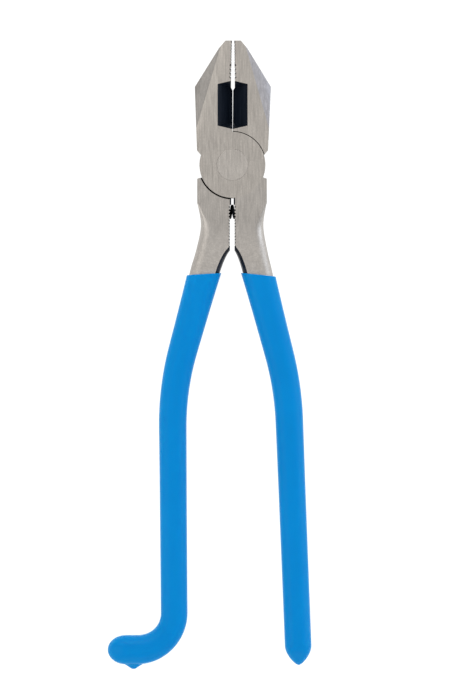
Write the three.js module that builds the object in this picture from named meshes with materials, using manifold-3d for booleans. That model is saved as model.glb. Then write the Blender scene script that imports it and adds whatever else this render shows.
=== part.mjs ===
// Ironworker's pliers: side-cutting pliers with a lap joint, a return spring between the tangs and
// a hook at the end of one handle. Millimetres, +Z up. The tool lies flat: +Y points to the jaws,
// and the origin is on the rivet's axis, on the back face of the joint.
import * as THREE from 'three';
import { ConvexGeometry } from 'three/addons/geometries/ConvexGeometry.js';
import { mergeVertices } from 'three/addons/utils/BufferGeometryUtils.js';
import Module from 'manifold-3d';

const wasm = await Module();
wasm.setup();

const LEFT = -1;
const RIGHT = 1;

// ---------------------------------------------------------------- driving dimensions

// Between pieces that touch, and across the lap of the joint.
const runningGap = 0.3;

// The lap joint and its rivet.
const jointThickness = 12.7;
const jointRadius = 11.66;
const rivetHeadRadius = 5.5;
const rivetHeadDepth = 1.5;
const rivetShankRadius = 4.2;

// The jaws: reaches are measured from the rivet's axis and widths from the jaw's own centre line.
// The tool rests slightly open, so each jaw leans outwards: the two angles add up to the opening.
const jawReach = 43.9;
const jawLean = { [LEFT]: 0.15, [RIGHT]: 0.8 };
const edgeGap = 0.05;
const tipWidth = 2.35;
const noseTopWidth = 4.75;
const noseTopDrop = 2.8;
const shoulderWidth = 13.25;
const shoulderReach = 27.3;
const jawFootWidth = 12.55;
const jawFootReach = 5.3;
const notchReach = 3.6;
const notchRoot = 1.0;
const facetNoseWidth = 4.3;
const facetFootWidth = 12.1;
const facetFootReach = 15.0;
const facetDrop = 2.4;

// The gripping faces in front of the cutters, and the relief between the two.
const gripFaceStart = 29.9;
const gripFaceRelief = 0.38;
const jawToothPitch = 1.4;
const jawToothDepth = 0.35;
const reliefStart = 26.5;
const reliefPointRise = 0.9;

// The cutters: two bevels ground from each face down to an edge at mid-thickness.
const cutterHalfWidth = 5.3;
const cutterFoot = 12.6;
const cutterHead = 29.8;
const cutterEndSlope = 1.45;
const cutterEndLean = 2.4;
const cutterBeyond = 1;

// The tangs between the joint and the grips.
const tangTop = -4.9;
const webDrop = 0.4;
const webInset = 0.2;
const webRoot = 2.0;
const tangShoulder = { [LEFT]: 12.45, [RIGHT]: 12.15 };
const tangShoulderEnd = -13.2;
const tangLap = 1;
const tangWaist = { [LEFT]: 11.15, [RIGHT]: 10.95 };
const tangWaistPlace = -21.2;
const tangFlare = { [LEFT]: 12.7, [RIGHT]: 12.2 };
const tangFlarePlace = -29.5;
const tangGap = { [LEFT]: 0.9, [RIGHT]: 0.75 };
const slotGap = 0.5;
const slotEnd = -14.0;
const tangFlatShare = 0.2;
const tangTopSquareness = 40;
const tangRoundingPower = 6;
const tangThinningPower = 1.2;
const flareClearance = 0.3;
const flareTurnShare = 0.5;
const flareTurnDrop = 0.22;
const tangToothPitch = 1.13;
const tangToothDepth = 0.35;

// The return spring, which lies across the gap in a blind pocket in each tang.
const springPlace = -16.5;
const springRadius = 2.6;
const springWire = 1.0;
const springTurns = 8;
const springSideGap = 0.4;
const pocketDepth = 6.6;

// The handles: the steel core and the dipped grip around it follow one route.
const handleStart = { [LEFT]: [-9.4, -36.0], [RIGHT]: [8.5, -36.0] };
const handleSplay = { [LEFT]: -15.4, [RIGHT]: 14.7 };
const splayedLength = { [LEFT]: 30.6, [RIGHT]: 32.0 };
const handleBendRadius = { [LEFT]: 100, [RIGHT]: 110 };
const lowerSplay = { [LEFT]: 0.45, [RIGHT]: 2.25 };
const lowerLength = { [LEFT]: 65.5, [RIGHT]: 80.9 };
const hookBendRadius = 13.0;
const hookArmLength = 5.4;
const gripWall = 0.75;
const gripHalfWidth = 4.7;
const gripMouthExtraWidth = 1.2;
const hookExtraWidth = 0.45;
const hookWidthPower = 4;
const gripTaperLength = 32;
const gripHalfThickness = 5.2;
const handleSquareness = 2.5;
const gripBoreLead = 2;
const gripMouthDistance = { [LEFT]: 2.95, [RIGHT]: 3.15 };
const gripMouthTilt = { [LEFT]: 3.5, [RIGHT]: -6.0 };
const gripTipLength = 5.5;
const gripTipWidth = 1.0;
const gripTipPower = 1.3;
const bulbEndAngle = 80;
const dripNubDistance = 1.4;
const dripNubSink = 1.15;
const dripNubSize = [3.2, 2.7, 3.0];

// ---------------------------------------------------------------- shared places and looks

const midPlane = jointThickness / 2;
const recessRadius = jointRadius + runningGap;
const beyond = 2 * jointThickness;
const degrees = Math.PI / 180;

const steel = new THREE.MeshStandardMaterial({ color: 0xaea8a0, roughness: 0.35, metalness: 0.9 });
const rivetSteel = new THREE.MeshStandardMaterial({ color: 0xb4afa8, roughness: 0.3, metalness: 0.9 });
const springSteel = new THREE.MeshStandardMaterial({ color: 0x10161d, roughness: 0.45, metalness: 0.6 });
const gripVinyl = new THREE.MeshStandardMaterial({ color: 0x0085d0, roughness: 0.4, metalness: 0 });

// ---------------------------------------------------------------- solids

function solid(geometry) {
  const bare = geometry.clone();
  bare.deleteAttribute('normal');
  bare.deleteAttribute('uv');
  const merged = mergeVertices(bare, 1e-5);
  return new wasm.Manifold(new wasm.Mesh({
    numProp: 3,
    vertProperties: new Float32Array(merged.attributes.position.array),
    triVerts: new Uint32Array(merged.index.array),
  }));
}

function geometryOf(body) {
  const { vertProperties, triVerts } = body.getMesh();
  const geometry = new THREE.BufferGeometry();
  geometry.setAttribute('position', new THREE.BufferAttribute(vertProperties, 3));
  geometry.setIndex(new THREE.BufferAttribute(triVerts, 1));
  geometry.computeVertexNormals();
  return geometry;
}

// A flat outline extruded between two heights.
function plate(outline, bottom, top) {
  const options = { depth: top - bottom, bevelEnabled: false, curveSegments: 6 };
  return solid(new THREE.ExtrudeGeometry(outline, options).translate(0, 0, bottom));
}

function throughPlate(outline) {
  return plate(outline, 0, jointThickness);
}

function throughCut(outline) {
  return plate(outline, -beyond, jointThickness + beyond);
}

function outlineOf(points) {
  return new THREE.Shape(points.map(([x, y]) => new THREE.Vector2(x, y)));
}

// A round bar along Z about the rivet's axis.
function disc(radius, bottom, top) {
  const bar = new THREE.CylinderGeometry(radius, radius, top - bottom, 64);
  return solid(bar.rotateX(Math.PI / 2).translate(0, 0, (bottom + top) / 2));
}

// A block that fills the space on the outer side of a plane.
function blockBeyond(point, outward) {
  const size = 3 * jawReach;
  const turn = new THREE.Quaternion().setFromUnitVectors(new THREE.Vector3(0, 0, 1), outward);
  const block = new THREE.BoxGeometry(size, size, size).translate(0, 0, size / 2);
  return solid(block.applyQuaternion(turn).translate(point.x, point.y, point.z));
}

// V grooves across the thickness, evenly spaced along a line from one point to another.
function withTeeth(body, [fromX, fromY], [toX, toY], pitch, depth) {
  const count = Math.floor(Math.hypot(toX - fromX, toY - fromY) / pitch);
  const side = depth * Math.SQRT2;
  let toothed = body;
  for (let tooth = 0; tooth < count; tooth += 1) {
    const share = (tooth + 0.5) / count;
    const x = THREE.MathUtils.lerp(fromX, toX, share);
    const y = THREE.MathUtils.lerp(fromY, toY, share);
    const groove = new THREE.BoxGeometry(side, side, 2 * beyond).rotateZ(Math.PI / 4);
    toothed = toothed.subtract(solid(groove.translate(x, y, midPlane)));
  }
  return toothed;
}

// ---------------------------------------------------------------- jaws

// A place on a jaw, from its distance to the jaw's own centre line and its reach.
function onJaw(side, [width, reach]) {
  return [side * (width + reach * Math.tan(jawLean[side] * degrees)), reach];
}

function jawOutline(side) {
  const notchWidth = Math.sqrt(jointRadius ** 2 - notchReach ** 2);
  const points = [
    [edgeGap, 0],
    [notchWidth - notchRoot, notchReach],
    [notchWidth, notchReach],
    [jawFootWidth, jawFootReach],
    [shoulderWidth, shoulderReach],
    [noseTopWidth, jawReach - noseTopDrop],
    [tipWidth, jawReach],
    [edgeGap, jawReach],
    [edgeGap + gripFaceRelief, gripFaceStart],
    [edgeGap + gripFaceRelief, reliefStart + reliefPointRise],
    [edgeGap, reliefStart],
  ];
  return outlineOf(points.map((point) => onJaw(side, point)));
}

// The space over one cutter bevel pair: six-sided at the face, a line at mid-thickness.
function cutterHollow(face) {
  const middleTop = cutterHead - cutterEndLean;
  const middleFoot = cutterFoot + cutterEndLean;
  const rise = face * (midPlane + cutterBeyond);
  const spread = cutterHalfWidth * (midPlane + cutterBeyond) / midPlane;
  const endLean = cutterEndLean * (midPlane + cutterBeyond) / midPlane;
  const top = middleTop + endLean;
  const foot = middleFoot - endLean;
  const centre = (onJaw(RIGHT, [0, cutterFoot])[0] + onJaw(LEFT, [0, cutterHead])[0]) / 2;
  const corners = [[0, middleTop, 0], [0, middleFoot, 0], [0, top, rise], [0, foot, rise]];
  for (const side of [LEFT, RIGHT]) {
    corners.push([side * spread, top - cutterEndSlope, rise]);
    corners.push([side * spread, foot + cutterEndSlope, rise]);
  }
  const points = corners.map(([x, y, z]) => new THREE.Vector3(centre + x, y, midPlane + z));
  return solid(new ConvexGeometry(points));
}

// The slanted facet along the outside of a jaw, on one face.
function jawFacet(side, face) {
  const faceHeight = midPlane + face * midPlane;
  const noseReach = jawReach - noseTopDrop;
  const nose = new THREE.Vector3(...onJaw(side, [facetNoseWidth, noseReach]), faceHeight);
  const foot = new THREE.Vector3(...onJaw(side, [facetFootWidth, facetFootReach]), faceHeight);
  const shoulderHeight = faceHeight - face * facetDrop;
  const shoulder = new THREE.Vector3(...onJaw(side, [shoulderWidth, shoulderReach]), shoulderHeight);
  const outward = new THREE.Plane().setFromCoplanarPoints(nose, foot, shoulder).normal;
  outward.multiplyScalar(Math.sign(outward.x) * side);
  return blockBeyond(shoulder, outward);
}

function jaw(side) {
  let body = throughPlate(jawOutline(side));
  for (const face of [-1, 1]) {
    body = body.subtract(cutterHollow(face)).subtract(jawFacet(side, face));
  }
  const inner = onJaw(side, [edgeGap + gripFaceRelief, gripFaceStart]);
  const tip = onJaw(side, [edgeGap, jawReach]);
  return withTeeth(body, inner, tip, jawToothPitch, jawToothDepth);
}

// ---------------------------------------------------------------- handles

// A route in the plane of the tool: legs of a given length, each with its change of heading.
// A heading of 0 points straight down, away from the jaws, and grows towards +X.
function routeOf([startX, startY], startHeading, legs) {
  return (distance) => {
    let x = startX;
    let y = startY;
    let heading = startHeading * degrees;
    let left = distance;
    for (const [index, leg] of legs.entries()) {
      const run = index === legs.length - 1 ? left : Math.min(left, leg.length);
      const bend = leg.bend * degrees * run / leg.length;
      const chord = bend === 0 ? run : 2 * run / bend * Math.sin(bend / 2);
      x += chord * Math.sin(heading + bend / 2);
      y -= chord * Math.cos(heading + bend / 2);
      heading += bend;
      left -= run;
    }
    return { x, y, heading };
  };
}

// A coordinate of a unit circle, pushed out towards a square.
function squared(value, squareness) {
  return Math.abs(value) < 1e-6 ? 0 : Math.sign(value) * Math.abs(value) ** (2 / squareness);
}

// A closed loft through stations: a capped cylinder with one ring moved to each station.
function loft(stations, sides) {
  const geometry = new THREE.CylinderGeometry(1, 1, 1, sides, stations.length - 1);
  const position = geometry.attributes.position;
  const point = new THREE.Vector3();
  for (let index = 0; index < position.count; index += 1) {
    point.fromBufferAttribute(position, index);
    const station = stations[Math.round((0.5 - point.y) * (stations.length - 1))];
    const reach = Math.hypot(point.x, point.z);
    const angle = Math.atan2(point.z, point.x);
    const across = reach * station.halfWidth * squared(Math.cos(angle), station.squareness);
    const up = reach * station.halfThickness * squared(Math.sin(angle), station.squareness);
    const x = station.x + across * Math.cos(station.heading);
    const y = station.y + across * Math.sin(station.heading);
    position.setXYZ(index, x, y, midPlane + up);
  }
  return solid(geometry);
}

function handleLegs(side) {
  const bend = lowerSplay[side] - handleSplay[side];
  const bendLength = handleBendRadius[side] * Math.abs(bend) * degrees;
  const legs = [
    { length: splayedLength[side], bend: 0, steps: 3 },
    { length: bendLength, bend, steps: 6 },
    { length: lowerLength[side], bend: 0, steps: 3 },
  ];
  if (side === LEFT) {
    const hookBend = -90 - lowerSplay[LEFT];
    legs.push({ length: hookBendRadius * -hookBend * degrees, bend: hookBend, steps: 8 });
    legs.push({ length: hookArmLength, bend: 0, steps: 1 });
  }
  return legs;
}

function handleRoute(side) {
  return routeOf(handleStart[side], handleSplay[side], handleLegs(side));
}

function legStations(legs) {
  const distances = [0];
  for (const leg of legs) {
    const start = distances.at(-1);
    for (let step = 1; step <= leg.steps; step += 1) {
      distances.push(start + leg.length * step / leg.steps);
    }
  }
  return distances;
}

// Half the width of the grip, which is wider at its mouth and along the hook's arm.
function gripReach(distance, heading) {
  const mouthShare = Math.exp(-distance / gripTaperLength);
  const hookShare = Math.max(0, -Math.sin(heading)) ** hookWidthPower;
  return gripHalfWidth + gripMouthExtraWidth * mouthShare + hookExtraWidth * hookShare;
}

function handleStation(route, distance, inset, share = 1) {
  const place = route(distance);
  return {
    ...place,
    halfWidth: (gripReach(distance, place.heading) - inset) * share,
    halfThickness: (gripHalfThickness - inset) * share,
    squareness: handleSquareness,
  };
}

// The grip's end: the hook ends in a round bulb, the straight grip in a short blunt point.
function endShares(side) {
  const steps = 5;
  const radius = gripHalfWidth + hookExtraWidth;
  const shares = [];
  for (let step = 1; step <= steps; step += 1) {
    const angle = step / steps * bulbEndAngle * degrees;
    if (side === LEFT) {
      shares.push([radius * Math.sin(angle), Math.cos(angle)]);
    } else {
      const share = 1 - (1 - gripTipWidth / gripHalfWidth) * (step / steps) ** gripTipPower;
      shares.push([gripTipLength * step / steps, share]);
    }
  }
  return shares;
}

function handleSolid(side, inset, lead) {
  const route = handleRoute(side);
  const distances = legStations(handleLegs(side));
  const stations = distances.map((distance) => handleStation(route, distance, inset));
  if (lead > 0) {
    stations[0] = { ...handleStation(route, 0, inset), ...route(-lead) };
  }
  const end = distances.at(-1);
  for (const [run, share] of endShares(side)) {
    const reach = run * (gripHalfWidth - inset) / gripHalfWidth;
    stations.push(handleStation(route, end + reach, inset, share));
  }
  return loft(stations, 20);
}

function grip(side) {
  let body = handleSolid(side, 0, 0);
  if (side === LEFT) {
    body = body.add(dripNub());
  }
  const mouth = handleRoute(side)(gripMouthDistance[side]);
  const tilt = gripMouthTilt[side] * degrees;
  const upward = new THREE.Vector3(-Math.sin(tilt), Math.cos(tilt), 0);
  const above = blockBeyond(new THREE.Vector3(mouth.x, mouth.y, midPlane), upward);
  return body.subtract(handleSolid(side, gripWall, gripBoreLead)).subtract(above);
}

// The drop left by dipping, on the underside of the hook's arm.
function dripNub() {
  const legs = handleLegs(LEFT);
  const armStart = legStations(legs).at(-2);
  const place = handleRoute(LEFT)(armStart + dripNubDistance);
  const below = gripReach(armStart, place.heading) - dripNubSink;
  const x = place.x + below * Math.cos(place.heading);
  const y = place.y + below * Math.sin(place.heading);
  const nub = new THREE.SphereGeometry(1, 16, 10).scale(...dripNubSize);
  return solid(nub.translate(x, y, midPlane));
}

// ---------------------------------------------------------------- tangs

function tangOutline(side) {
  return outlineOf([
    [side * slotGap, 0],
    [side * slotGap, tangShoulderEnd - tangLap],
    [side * tangShoulder[side], tangShoulderEnd - tangLap],
    [side * tangShoulder[side], tangTop],
  ]);
}

// The tang narrows to a waist below the joint, then swells and turns into the handle.
function tangStations(side, core) {
  const first = core[0];
  const outerX = first.x + side * first.halfWidth * Math.cos(first.heading);
  const outerY = first.y + side * first.halfWidth * Math.sin(first.heading);
  const innerX = first.x - side * first.halfWidth * Math.cos(first.heading);
  const innerY = first.y - side * first.halfWidth * Math.sin(first.heading);
  const outer = new THREE.SplineCurve([
    new THREE.Vector2(side * tangShoulder[side], tangShoulderEnd),
    new THREE.Vector2(side * tangWaist[side], tangWaistPlace),
    new THREE.Vector2(side * tangFlare[side], tangFlarePlace),
    new THREE.Vector2(outerX, outerY),
  ]);
  const inner = new THREE.SplineCurve([
    new THREE.Vector2(side * slotGap, tangShoulderEnd),
    new THREE.Vector2(side * slotGap, tangWaistPlace),
    new THREE.Vector2(side * slotGap, tangFlarePlace),
    new THREE.Vector2(innerX, innerY),
  ]);
  const steps = 9;
  const stations = [];
  for (let step = 0; step < steps; step += 1) {
    const share = step / steps;
    const from = inner.getPoint(share);
    const to = outer.getPoint(share);
    const right = side === RIGHT ? to : from;
    const left = side === RIGHT ? from : to;
    const thinning = Math.max(0, share - tangFlatShare) / (1 - tangFlatShare);
    const rounding = (1 - share) ** tangRoundingPower;
    stations.push({
      x: (from.x + to.x) / 2,
      y: (from.y + to.y) / 2,
      heading: Math.atan2(right.y - left.y, right.x - left.x),
      halfWidth: from.distanceTo(to) / 2,
      halfThickness: THREE.MathUtils.lerp(midPlane, first.halfThickness, thinning ** tangThinningPower),
      squareness: THREE.MathUtils.lerp(first.squareness, tangTopSquareness, rounding),
    });
  }
  return stations;
}

function tangAndCore(side) {
  const inset = gripWall + runningGap;
  const route = handleRoute(side);
  const distances = legStations(handleLegs(side));
  const core = distances.map((distance) => handleStation(route, distance, inset));
  const end = distances.at(-1);
  for (const [run, share] of endShares(side)) {
    const reach = run * (gripHalfWidth - inset) / gripHalfWidth - runningGap;
    core.push(handleStation(route, end + reach, inset, share));
  }
  return loft([...tangStations(side, core), ...core], 20);
}

// One side of the space between the tangs: a slot, the spring's stretch with teeth, then a flare
// that runs out on the core just inside the grip's mouth.
function tangGapCut(side) {
  const mouth = handleStation(handleRoute(side), gripMouthDistance[side], gripWall + runningGap);
  const endX = mouth.x - side * (mouth.halfWidth * Math.cos(mouth.heading) + flareClearance);
  const endY = mouth.y - side * mouth.halfWidth * Math.sin(mouth.heading);
  const gap = side * tangGap[side];
  const turnX = THREE.MathUtils.lerp(gap, endX, flareTurnShare);
  const turnY = THREE.MathUtils.lerp(tangFlarePlace, endY, flareTurnDrop);
  const outline = new THREE.Shape();
  outline.moveTo(-side, 0);
  outline.lineTo(side * slotGap, 0);
  outline.lineTo(side * slotGap, slotEnd);
  outline.lineTo(gap, slotEnd);
  outline.lineTo(gap, tangFlarePlace);
  outline.quadraticCurveTo(turnX, turnY, endX, endY);
  outline.lineTo(-side, endY);
  return throughCut(outline);
}

function springPocket(side) {
  const radius = springRadius + springSideGap;
  const depth = tangGap[side] + pocketDepth;
  const drill = new THREE.CylinderGeometry(radius, radius, depth, 32).rotateZ(Math.PI / 2);
  return solid(drill.translate(side * depth / 2, springPlace, midPlane));
}

function tang(side) {
  let body = throughPlate(tangOutline(side)).add(tangAndCore(side));
  body = body.subtract(tangGapCut(side)).subtract(springPocket(side));
  const top = [side * tangGap[side], slotEnd];
  const bottom = [side * tangGap[side], tangFlarePlace];
  return withTeeth(body, top, bottom, tangToothPitch, tangToothDepth);
}

// A small web that rounds the corner between the joint's disc and its own tang.
function tangWeb(side, bottom, top) {
  const reach = notchReach + webDrop;
  const width = Math.sqrt(jointRadius ** 2 - reach ** 2);
  const corners = [
    [width, -reach],
    [tangShoulder[side] - webInset, tangTop],
    [width - webRoot, tangTop],
  ];
  return plate(outlineOf(corners.map(([x, y]) => [side * x, y])), bottom, top);
}

// ---------------------------------------------------------------- rivet and spring

function rivetProfile(clearance) {
  const head = rivetHeadRadius + clearance;
  const shank = rivetShankRadius + clearance;
  const slope = rivetHeadRadius - rivetShankRadius;
  return [
    [0, 0], [head, 0], [head, rivetHeadDepth], [shank, rivetHeadDepth + slope],
    [shank, jointThickness - rivetHeadDepth - slope], [head, jointThickness - rivetHeadDepth],
    [head, jointThickness], [0, jointThickness],
  ].map(([radius, height]) => new THREE.Vector2(radius, height));
}

function rivetSolid(clearance) {
  return solid(new THREE.LatheGeometry(rivetProfile(clearance), 36).rotateX(Math.PI / 2));
}

class SpringLine extends THREE.Curve {
  getPoint(share, target = new THREE.Vector3()) {
    const inset = pocketDepth - runningGap - springWire / 2;
    const angle = share * springTurns * 2 * Math.PI;
    const radius = springRadius - springWire / 2;
    const x = THREE.MathUtils.lerp(-tangGap[LEFT] - inset, tangGap[RIGHT] + inset, share);
    return target.set(x, springPlace + radius * Math.cos(angle), midPlane + radius * Math.sin(angle));
  }
}

function springGeometry() {
  const section = new THREE.Shape();
  section.absarc(0, 0, springWire / 2, 0, 2 * Math.PI, false);
  const options = { steps: springTurns * 10, extrudePath: new SpringLine(), curveSegments: 4 };
  return new THREE.ExtrudeGeometry(section, options);
}

// ---------------------------------------------------------------- the two halves

// Each half has a jaw on one side, the tang on the other and its disc in one layer of the lap.
function half(jawSide, layer) {
  const tangSide = -jawSide;
  const low = layer > 0 ? midPlane + runningGap / 2 : 0;
  const high = layer > 0 ? jointThickness : midPlane - runningGap / 2;
  const otherLow = layer > 0 ? -beyond : high;
  const otherHigh = layer > 0 ? low : jointThickness + beyond;
  const body = jaw(jawSide).add(tang(tangSide)).subtract(disc(recessRadius, otherLow, otherHigh));
  const joined = body.add(disc(jointRadius, low, high)).add(tangWeb(tangSide, low, high));
  return joined.subtract(rivetSolid(runningGap));
}

function piece(name, geometry, material) {
  const mesh = new THREE.Mesh(geometry, material);
  mesh.name = name;
  return mesh;
}

const pliers = new THREE.Group();
pliers.add(piece('back_half', geometryOf(half(RIGHT, -1)), steel));
pliers.add(piece('front_half', geometryOf(half(LEFT, 1)), steel));
pliers.add(piece('rivet', geometryOf(rivetSolid(0)), rivetSteel));
pliers.add(piece('return_spring', springGeometry(), springSteel));
pliers.add(piece('hook_grip', geometryOf(grip(LEFT)), gripVinyl));
pliers.add(piece('straight_grip', geometryOf(grip(RIGHT)), gripVinyl));

export default pliers;
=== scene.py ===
# %% [markdown]
# # Ironworker's pliers, modelled in Blender
#
# These are side-cutting pliers with a lap joint, a small return spring between the tangs and a hook
# at the end of one handle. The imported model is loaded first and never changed: it holds every size
# and the joint. Each piece is then modelled again, finer, on the same axes, and takes the place of
# its plain solid. +Y points to the jaws, +Z is the front face, and the rivet stands on the Z axis.

# %% Load the frame
import math

import bpy
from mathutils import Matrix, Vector


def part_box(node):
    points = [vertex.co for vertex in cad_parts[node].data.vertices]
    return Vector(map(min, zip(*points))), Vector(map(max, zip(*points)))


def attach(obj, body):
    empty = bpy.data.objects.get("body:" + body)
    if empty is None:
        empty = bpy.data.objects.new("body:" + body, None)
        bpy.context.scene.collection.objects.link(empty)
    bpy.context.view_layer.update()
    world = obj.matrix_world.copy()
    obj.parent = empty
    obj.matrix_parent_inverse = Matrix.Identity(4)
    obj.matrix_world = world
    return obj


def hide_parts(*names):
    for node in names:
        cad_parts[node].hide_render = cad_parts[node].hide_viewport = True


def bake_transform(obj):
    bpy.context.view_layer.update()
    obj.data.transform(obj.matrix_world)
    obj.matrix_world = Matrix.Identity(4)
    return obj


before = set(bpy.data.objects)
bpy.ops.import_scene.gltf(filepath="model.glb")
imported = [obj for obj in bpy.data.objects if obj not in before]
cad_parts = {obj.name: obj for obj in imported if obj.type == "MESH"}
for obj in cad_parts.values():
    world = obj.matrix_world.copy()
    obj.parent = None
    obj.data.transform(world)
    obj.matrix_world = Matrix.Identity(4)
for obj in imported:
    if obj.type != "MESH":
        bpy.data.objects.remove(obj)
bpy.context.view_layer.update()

MM = 0.001
LEFT = -1
RIGHT = 1

# %% [markdown]
# ## Sizes shared by several pieces
#
# All values are in millimetres. The thickness, the reach of the jaws and the radius of the rivet's
# head are read from the loaded solids, so they can't drift away from them. The two halves cross at
# the rivet: the back half has the right jaw and the left tang, the front half the other two. Two
# places nearer than the touch distance count as one.

# %% Shared sizes
_, joint_high = [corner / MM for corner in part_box("front_half")]
joint_thickness = joint_high.z
mid_plane = joint_thickness / 2
jaw_reach = joint_high.y
_, rivet_high = [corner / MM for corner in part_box("rivet")]
rivet_head_radius = rivet_high.x

joint_radius = 11.66
lap_gap = 0.3
cutter_turn = math.radians(0.21)
edge_gap = 0.05
beyond = 2 * joint_thickness
touch = 0.01

print(f"thickness {joint_thickness:.2f} mm, jaws reach {jaw_reach:.2f} mm")

# %% [markdown]
# ## The camera
#
# The tool lies flat and is looked at from straight above, with its jaws towards the top of the
# picture. A long lens from nearly three metres away keeps the outline almost free of perspective,
# but the walls of the notches and teeth near the tip still show a little, as they do to the eye.

# %% Camera
view_centre = (0.38, -65.4)
camera_lens = 400
camera_sensor = 36
camera_range = 50
camera_distance = 2753

bpy.ops.object.camera_add(
    location=(view_centre[0] * MM, view_centre[1] * MM, (mid_plane + camera_distance) * MM),
    rotation=(0, 0, 0),
)
camera = bpy.context.object
camera.name = "camera"
camera.data.lens = camera_lens
camera.data.sensor_width = camera_sensor
camera.data.clip_end = camera_range
bpy.context.scene.camera = camera

# %% [markdown]
# ## Floor and light
#
# The tool lies on a light table: the floor itself glows white, so that it shows no shadow and
# gives the rounded edges of the grips their pale rims. The light comes from four large soft
# panels. A warm one stands beyond the jaws and a cool one low on the right, which turns the
# right-hand slopes of the steel slightly lilac; on the jaw facets that lilac, and the darker grey
# of the left facets, are also painted into the colour. The two fainter ones, left and below,
# lift the other slopes. None is straight above, so the tops of the grips keep their full blue.

# %% Floor
floor_size = 12
floor_grey = 0.12
floor_roughness = 0.9
floor_glow = 1.0
bpy.ops.mesh.primitive_plane_add(size=floor_size, location=(0, 0, 0))
floor = bpy.context.object
floor.name = "light_table"
floor_white = bpy.data.materials.new("light_table_white")
floor_white.use_nodes = True
floor_shader = floor_white.node_tree.nodes["Principled BSDF"]
floor_shader.inputs["Base Color"].default_value = (floor_grey, floor_grey, floor_grey, 1)
floor_shader.inputs["Roughness"].default_value = floor_roughness
floor_shader.inputs["Emission Color"].default_value = (1, 1, 1, 1)
floor_shader.inputs["Emission Strength"].default_value = floor_glow
floor.data.materials.append(floor_white)


# %% Light
def soft_panel(name, place, aim, size, power, colour):
    """A large area light at a place in metres, turned towards the point it lights."""
    bpy.ops.object.light_add(type="AREA", location=place)
    light = bpy.context.object
    light.name = name
    light.data.shape = "RECTANGLE"
    light.data.size, light.data.size_y = size
    light.data.energy = power
    light.data.color = colour
    light.rotation_euler = (Vector(aim) - Vector(place)).to_track_quat("-Z", "Y").to_euler()


tool_middle = (0, -0.06, 0)
soft_panel("warm_panel", (-0.1, 0.75, 0.85), tool_middle, (1.2, 0.7), 7, (1, 0.97, 0.93))
soft_panel("cool_panel", (1.1, 0, 0.24), tool_middle, (0.4, 1.2), 5.5, (0.78, 0.87, 1))
soft_panel("left_panel", (-0.9, -0.3, 0.8), tool_middle, (0.5, 1.2), 3, (1, 0.98, 0.96))
soft_panel("low_panel", (0.1, -1.1, 0.5), tool_middle, (1.2, 0.5), 3, (0.95, 0.97, 1))

room_light = 0.7
world = bpy.data.worlds.new("studio")
world.use_nodes = True
room = world.node_tree.nodes["Background"]
room.inputs["Color"].default_value = (1, 1, 1, 1)
room.inputs["Strength"].default_value = room_light
bpy.context.scene.world = world
bpy.context.scene.view_settings.view_transform = "Standard"


# %% [markdown]
# ## Materials
#
# Every finish is a small node tree. A fine noise, stretched along one direction, stands for the
# lines that a grinding belt leaves; the same noise, not stretched, stands for blasted steel. The
# pattern shifts the colour a few percent, the roughness a little more, and lifts the surface by
# some microns. Numbers that don't vary are set on the shader itself.

# %% Material helpers
noise_low = 0.3
noise_high = 0.7


def finish(name, colour, metallic, roughness):
    """A new material, its node tree and its shader."""
    material = bpy.data.materials.new(name)
    material.use_nodes = True
    tree = material.node_tree
    shader = tree.nodes["Principled BSDF"]
    shader.inputs["Base Color"].default_value = (*colour, 1)
    shader.inputs["Metallic"].default_value = metallic
    shader.inputs["Roughness"].default_value = roughness
    return material, tree, shader


def pattern(tree, scale, detail=3, turn=0):
    """Noise on the object's own coordinates, with its own number of grains per metre each way."""
    place = tree.nodes.new("ShaderNodeTexCoord")
    mapping = tree.nodes.new("ShaderNodeMapping")
    mapping.inputs["Scale"].default_value = scale
    mapping.inputs["Rotation"].default_value = (0, 0, turn)
    noise = tree.nodes.new("ShaderNodeTexNoise")
    noise.inputs["Scale"].default_value = 1
    noise.inputs["Detail"].default_value = detail
    tree.links.new(place.outputs["Object"], mapping.inputs["Vector"])
    tree.links.new(mapping.outputs["Vector"], noise.inputs["Vector"])
    return noise.outputs["Fac"]


def spread(tree, value, low, high):
    """Stretches a noise's middle range to the numbers from low to high."""
    remap = tree.nodes.new("ShaderNodeMapRange")
    remap.inputs["From Min"].default_value = noise_low
    remap.inputs["From Max"].default_value = noise_high
    remap.inputs["To Min"].default_value = low
    remap.inputs["To Max"].default_value = high
    tree.links.new(value, remap.inputs["Value"])
    return remap.outputs["Result"]


def between(tree, factor, first, second):
    """A colour between two, which may each be a colour or another node's output."""
    mix = tree.nodes.new("ShaderNodeMix")
    mix.data_type = "RGBA"
    tree.links.new(factor, mix.inputs["Factor"])
    for socket, colour in ((mix.inputs["A"], first), (mix.inputs["B"], second)):
        if isinstance(colour, tuple):
            socket.default_value = (*colour, 1)
        else:
            tree.links.new(colour, socket)
    return mix.outputs["Result"]


def relief(tree, shader, height, depth):
    """Lifts the surface by a height pattern, at most the depth in millimetres."""
    bump = tree.nodes.new("ShaderNodeBump")
    bump.inputs["Strength"].default_value = 1
    bump.inputs["Distance"].default_value = depth * MM
    tree.links.new(height, bump.inputs["Height"])
    tree.links.new(bump.outputs["Normal"], shader.inputs["Normal"])


# %% [markdown]
# ### Ground steel
#
# The faces of the jaws, joint and tangs were ground on a belt, lengthwise. The lines are a tenth
# to a third of a millimetre wide and some centimetres long. The slanted facets on the outside of
# the jaws were ground in a second pass, along their own slope, so theirs are turned. Their colour
# also holds painted light: the left facets are painted darker, as shade, and the right ones
# lilac, as a reflection of the cool panel. A pattern's size is given as its number of grains
# per metre along X, Y and Z.

# %% Ground steel
fine_lines = (3600, 190, 3600)
broad_lines = (1900, 120, 1900)
ground_grains = (2600, 1500, 2600)
line_strength = 0.6
grain_strength = 0.5
deep_share = 0.72
ground_roughness = (0.34, 0.48)
ground_relief = 0.012


def deeper(colour):
    """The colour at the bottom of a scratch or pit."""
    return tuple(channel * deep_share for channel in colour)


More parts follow.
